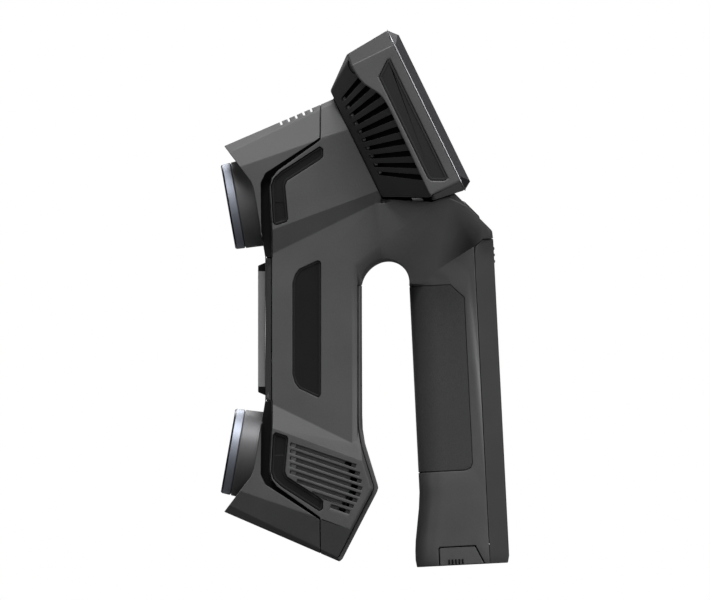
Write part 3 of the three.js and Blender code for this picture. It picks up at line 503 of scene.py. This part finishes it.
for node in ("left_main_shell", "right_main_shell", "upper_camera_bezel", "lower_camera_bezel"):
    refine(node, "shell groove", ROOF_ROUNDING, groove_shape, width_at=shell_edges, segments=3,
           swept=True)
refine("rear_cover", "spine", 0.4, width_at=crease(0.4, 25))
refine("front_fascia", "front", 0.4)
refine("handle_rear_cover", "cover", 0.4, swept=True)
refine("display_housing", "display_side flare", 1.0, display_shape, width_at=display_edges, segments=3)
refine("display_bezel", "bezel", 0, sharp=30)
refine("rubber_grip", "rubber", 0.45, swept=True)
refine("window_frame", "window_side black", 0.35, window_shape)
refine("scan_button", "trim", 0.3)
refine("function_rocker", "trim", 0.25)
refine("battery_cap", "cover", 0.5)
refine("battery_latch_left", "shell", 0.4)
refine("battery_latch_right", "shell", 0.4)
refine("port_cover", "rubber", 0.4)

# ---- trim let into the sides ------------------------------------------------------------------------


def sink(bm, faces, side, depth):
    """Pushes faces that look along Y straight in, leaving a narrow slope round them."""
    bmesh.ops.inset_region(bm, faces=faces, thickness=0.15 * MM, depth=0, use_even_offset=True)
    for vertex in {v for face in faces for v in face.verts}:
        vertex.co.y -= side * depth * MM


def framed(side, split=None):
    """Gives an insert a raised border, a sunken field and, past the split, a deeper end."""
    def shape(bm):
        if split:
            split_level(bm, split)
        faces = [f for f in bm.faces if f.normal.y * side > 0.95]
        bmesh.ops.inset_region(bm, faces=faces, thickness=0.9 * MM, depth=0, use_even_offset=True)
        sink(bm, faces, side, 0.4)
        for face in faces:
            face.material_index = 1
        if split:
            lowest = [f for f in faces if (f.calc_center_median().z - split * MM) * (split - BODY_MID_Z) < 0]
            sink(bm, lowest, side, 0.35)
    return shape


BAR_SPLIT_Z = 203.0  # the upper light bars' deeper end starts here
INSERT_ROUNDING = 0.1
insert_edges = crease(INSERT_ROUNDING, 20)
for side, name in ((LEFT, "left"), (RIGHT, "right")):
    for head, split in (("upper", BAR_SPLIT_Z), ("lower", 2 * BODY_MID_Z - BAR_SPLIT_Z)):
        refine(f"{head}_light_bar_{name}", "inset_rim inset", INSERT_ROUNDING, framed(side, split),
               width_at=insert_edges)
    refine(f"nameplate_{name}", "inset_rim inset", INSERT_ROUNDING, framed(side),
           width_at=insert_edges)
    refine(f"side_pad_{name}", "pad pad_field", INSERT_ROUNDING, framed(side), width_at=insert_edges)

# ---- cameras ----------------------------------------------------------------------------------------
BORE = 20.3
RING_BACK = 5.5
BARREL_BACK = 23.4
BLACK_LIP = 1.0  # the ring's front lip is black this far back
for prefix, side in (("upper", 1), ("lower", -1)):
    frame_at = place((RIM_X, 0, BODY_MID_Z + side * BASELINE / 2), -side * TOE_IN)
    barrel = bmesh.new()
    lathe(barrel, [(BORE, RING_BACK), (23.5, RING_BACK), (23.6, 5.8), (24.1, 5.9), (24.35, 6.3),
                   (24.6, 12), (25.0, 18.0), (25.0, BARREL_BACK), (BORE, BARREL_BACK)], frame_at)
    made = piece_from(barrel, prefix + "_barrel_turned", "barrel", "housing", "lens_metal", sharp=30)
    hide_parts(prefix + "_camera_barrel")
    ring = bmesh.new()
    lathe(ring, [(BORE, 1.8), (22.2, 0.3), (22.6, 0.05), (23.2, 0.0), (23.6, 0.25), (24.0, 1.1),
                 (24.22, 5.1), (23.9, RING_BACK), (BORE, RING_BACK)], frame_at)
    made = piece_from(ring, prefix + "_trim_turned", "bright rim_black", "housing", "bright_metal", sharp=35)
    for polygon in made.data.polygons:
        local = frame_at.inverted() @ polygon.center
        if local.x < BLACK_LIP:
            polygon.material_index = 1
    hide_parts(prefix + "_trim_ring")

# ---- linings that close the seams and slots from inside, black as painted shade in them -----------------
ARCH_RADIUS = 14.6
ARCH_AT = (-42.8, 156.5)
BODY_RIB = (
    [(-109.4, 44), (-109.4, 19.9), (-72.4, 3.8), (-69.2, 2.4), (-67.4, 4.4), (-48.1, 40.9),
     (-47.8, 43.6), (-53.6, 62), (-56.3, 74), (-57, 84), (-56.3, 150), (-56.3, 157)]
    + [(ARCH_AT[0] - ARCH_RADIUS * math.cos(math.radians(t)),
        ARCH_AT[1] + ARCH_RADIUS * math.sin(math.radians(t))) for t in range(10, 171, 20)]
    + [(-29.3, 157), (-29, 151), (5.2, 151), (5.2, 147.6), (17.2, 147.6), (16.6, 186.8), (8, 187),
       (4, 186), (-8, 198), (-4, 205.4), (-4, 208.4), (-13, 207.2), (-40.8, 206.8), (-40.8, 212),
       (-66.6, 265), (-71, 263), (-72.6, 260.2), (-80.6, 256.8), (-82, 252), (-106, 241.6),
       (-109.4, 240)]
)
RIB_HALF = 0.5
GRIP_PLUG = [(-21.2, 50), (-18.2, 50), (-18.2, 56), (-21.2, 56)]  # behind the grip's lower seam
# The black middle rib is painted shade seen through the seams and gaps between the shells and behind the
# grip's lower seam.
shade_rib = bmesh.new()
prism(shade_rib, BODY_RIB, -RIB_HALF, RIB_HALF, WORLD)
prism(shade_rib, GRIP_PLUG, -6, 6, HANDLE)
piece_from(shade_rib, "middle_shade_rib", "black", "housing", "dark_inner")

SEAM_STRIP = [(12.5, 14), (18.5, 14), (18.5, 156), (12.5, 156)]  # behind the handle's rear cover seam
SEAM_INNER, SEAM_OUTER = 14.6, 15.7  # between the battery tray and the shell's wall
# The black backing strips are painted shade in the handle's rear cover seam.
shade_backing = bmesh.new()
for low, high in ((-SEAM_OUTER, -SEAM_INNER), (SEAM_INNER, SEAM_OUTER)):
    prism(shade_backing, SEAM_STRIP, low, high, HANDLE)
piece_from(shade_backing, "seam_shade_backing", "black", "housing", "dark_inner")

VENT_COUNT = 10
VENT_TOP = 26.9
VENT_PITCH = 5.04
# The blocks' pale finish is a painted highlight on the lit ends of the slots.
STOP_BACK, STOP_FRONT, STOP_HALF = -44.5, -42.2, 1.1  # a pale block ends every slot


def flare_half(x):
    """Half width of the display's flare, just under its surface."""
    return 36.6 + (x + 48.2) * 1.149 - 0.4


for side, name in ((LEFT, "left"), (RIGHT, "right")):
    # Black screens behind the flare's vent slots are painted shade in the slots.
    shade_screen = bmesh.new()
    corners = [(-47.2, 31.6, -29), (-47.2, 31.6, 32), (-21.5, 60.8, 43), (-21.5, 60.8, -42)]
    outer = [shade_screen.verts.new(DISPLAY @ Vector((x, side * y, z))) for x, y, z in corners]
    inner = [shade_screen.verts.new(DISPLAY @ Vector((x, side * (y - 1), z))) for x, y, z in corners]
    shade_screen.faces.new(outer)
    shade_screen.faces.new(reversed(inner))
    for i in range(4):
        j = (i + 1) % 4
        shade_screen.faces.new((outer[i], inner[i], inner[j], outer[j]))
    piece_from(shade_screen, "vent_shade_screen_" + name, "black", "housing", "dark_inner")

    stops = bmesh.new()
    for i in range(VENT_COUNT):
        middle = VENT_TOP - i * VENT_PITCH
        outline = [(STOP_BACK, flare_half(STOP_BACK)), (STOP_FRONT, flare_half(STOP_FRONT)),
                   (STOP_FRONT, 37), (STOP_BACK, 35.5)]
        block = [[stops.verts.new(DISPLAY @ Vector((x, side * y, z))) for x, y in outline]
                 for z in (middle - STOP_HALF, middle + STOP_HALF)]
        stops.faces.new(block[0])
        stops.faces.new(reversed(block[1]))
        for k in range(4):
            n = (k + 1) % 4
            stops.faces.new((block[0][k], block[1][k], block[1][n], block[0][n]))
    piece_from(stops, "vent_stops_" + name, "stop", "housing", "shell")

# ---- strap eyelets at the display's upper back and strap bars at its lower edge --------------------------
for side, name in ((LEFT, "left"), (RIGHT, "right")):
    slope = Vector((0.537, side * 0.844, 0))
    outward = Vector((-0.844, side * 0.537, 0))
    middle = Vector((-31.6, side * 62.6, 41.2))
    eyelet = bmesh.new()
    rings = []
    for grow, depth in ((1.0, -2.5), (1.0, 0.25), (1.3, 0.25), (1.3, -2.8)):
        rings.append([eyelet.verts.new(DISPLAY @ (middle + outward * depth + grow * (
            slope * 1.9 * math.cos(t) + Vector((0, 0, 3.1 * math.sin(t)))))) for t in TURNS])
    for here, there in zip(rings, rings[1:]):
        skin(eyelet, here, there)
    eyelet.faces.new(rings[0])
    eyelet.faces.new(rings[-1])
    # The eyelet's hole lining takes the near-black groove finish: painted shade inside the hole.
    piece_from(eyelet, "strap_eyelet_" + name, "groove", "housing", "shell", sharp=40)
    bar = bmesh.new()
    rings = [[bar.verts.new(DISPLAY @ Vector((x, side * 57.2 + math.cos(t), z + math.sin(t)))) for t in TURNS]
             for x, z in ((-33.6, -40.2), (-28.2, -42.8))]
    skin(bar, *rings)
    for end in rings:
        bar.faces.new(end)
    piece_from(bar, "strap_bar_" + name, "spine", "housing", "shell", sharp=40)

# ---- grip ribs on the two battery latches -----------------------------------------------------------------
RIB_STARTS = (-7.5, -5.6, -3.7, -1.8, 0.1)
RIB_WIDTH = 0.9
RIB_FOOT, RIB_HEAD = 0.5, 3.4
for side, name in ((LEFT, "left"), (RIGHT, "right")):
    low, high = sorted((side * 19.6, side * 20.3))
    ribs = bmesh.new()
    for x in RIB_STARTS:
        outline = [(x, RIB_FOOT), (x + RIB_WIDTH, RIB_FOOT), (x + RIB_WIDTH, RIB_HEAD), (x, RIB_HEAD)]
        prism(ribs, outline, low, high, HANDLE)
    piece_from(ribs, "latch_ribs_" + name, "black", "latch_" + name, "shell")

# ---- bright metal tube round the display bezel, a painted highlight along its edge ----------------------
RIM_CORNERS = [(74.9, 41.9), (68.6, 50.9), (-68.6, 50.9), (-74.9, 41.9), (-74.9, -42.4), (-70.1, -48.4),
               (70.1, -48.4), (74.9, -42.4)]
BEZEL_BACK = -4.65
LINE_RADIUS = 0.4
highlight_line = bmesh.new()
loop_tube(highlight_line, [(BEZEL_BACK, y, z) for y, z in RIM_CORNERS], LINE_RADIUS, DISPLAY)
piece_from(highlight_line, "bezel_highlight_line", "highlight_line_metal", "housing", "bright_metal")

# ---- nodes that keep their CAD shape ----------------------------------------------------------------
KEPT_FINISH = {
    "shell": "shell", "cover": "cover", "trim": "black", "soft": "pad", "lens_metal": "barrel",
    "bright_metal": "bright", "inner_metal": "metal", "touch_glass": "glass", "window_glass": "window",
    "lens_glass": "lens", "diffuser": "diffuser", "board": "board", "dark_inner": "black", "cell": "cell",
}
for name, node in NODES.items():
    node.data.materials.clear()
    node.data.materials.append(FINISH[KEPT_FINISH[SLOT_OF[name]]])

# ---- stage --------------------------------------------------------------------------------------------


def area_light(name, at, target, width, height, power):
    data = bpy.data.lights.new(name, "AREA")
    data.energy = power
    data.shape = "RECTANGLE"
    data.size = width
    data.size_y = height
    light = bpy.data.objects.new(name, data)
    bpy.context.scene.collection.objects.link(light)
    light.location = at
    light.rotation_euler = (Vector(target) - Vector(at)).to_track_quat("-Z", "Y").to_euler()


def camera_only(tree, shown, otherwise):
    """A shader that is one thing where the camera looks straight at it and another for light."""
    path = tree.nodes.new("ShaderNodeLightPath")
    mix = tree.nodes.new("ShaderNodeMixShader")
    tree.links.new(path.outputs["Is Camera Ray"], mix.inputs[0])
    tree.links.new(otherwise.outputs[0], mix.inputs[1])
    tree.links.new(shown.outputs[0], mix.inputs[2])
    return mix.outputs[0]


def build_floor():
    size = 30
    z = CAD_BOX[0].z - 0.0002
    mesh = bpy.data.meshes.new("floor")
    corners = [(-size, -size, z), (size, -size, z), (size, size, z), (-size, size, z)]
    mesh.from_pydata(corners, [], [(0, 1, 2, 3)])
    floor = bpy.data.objects.new("floor", mesh)
    bpy.context.scene.collection.objects.link(floor)
    material = bpy.data.materials.new("floor")
    material.use_nodes = True
    tree = material.node_tree
    pale = tree.nodes["Principled BSDF"]
    pale.inputs["Base Color"].default_value = (0.8, 0.8, 0.8, 1)
    pale.inputs["Roughness"].default_value = 0.9
    dim = tree.nodes.new("ShaderNodeBsdfDiffuse")
    dim.inputs["Color"].default_value = (0.1, 0.1, 0.1, 1)
    tree.links.new(camera_only(tree, pale, dim), tree.nodes["Material Output"].inputs["Surface"])
    mesh.materials.append(material)


def build_world():
    world = bpy.data.worlds.new("studio")
    bpy.context.scene.world = world
    world.use_nodes = True
    tree = world.node_tree
    shown = tree.nodes["Background"]
    shown.inputs["Color"].default_value = (1, 1, 1, 1)
    fill = tree.nodes.new("ShaderNodeBackground")
    fill.inputs["Color"].default_value = (1, 1, 1, 1)
    fill.inputs["Strength"].default_value = 0.03
    tree.links.new(camera_only(tree, shown, fill), tree.nodes["World Output"].inputs["Surface"])


def build_camera():
    view_width = 397.6 * MM
    data = bpy.data.cameras.new("camera")
    data.type = "ORTHO"
    data.ortho_scale = view_width
    data.clip_end = 100
    camera = bpy.data.objects.new("camera", data)
    bpy.context.scene.collection.objects.link(camera)
    camera.location = (-59.9 * MM, -2, 148.4 * MM)
    camera.rotation_euler = (math.radians(90), 0, 0)
    bpy.context.scene.camera = camera


build_camera()
build_floor()
build_world()
centre = (-0.06, 0, 0.15)
area_light("key", (-0.15, -0.95, 1.7), centre, 1.1, 0.8, 29)
area_light("above", (-0.15, 0.05, 1.9), centre, 1.2, 0.8, 22)
area_light("front", (-0.1, -2.2, 0.6), centre, 1.6, 1.2, 6.5)
area_light("far_side", (-0.1, 1.5, 1.5), centre, 1.4, 1.0, 26)
area_light("far_front", (-1.6, 1.1, 0.7), centre, 1.0, 1.0, 9)
area_light("right", (1.4, -1.0, 0.8), centre, 1.1, 1.0, 17)
area_light("left_strip", (-1.2, -0.7, 0.4), centre, 0.15, 1.0, 2.5)
bpy.context.scene.view_settings.view_transform = "Standard"
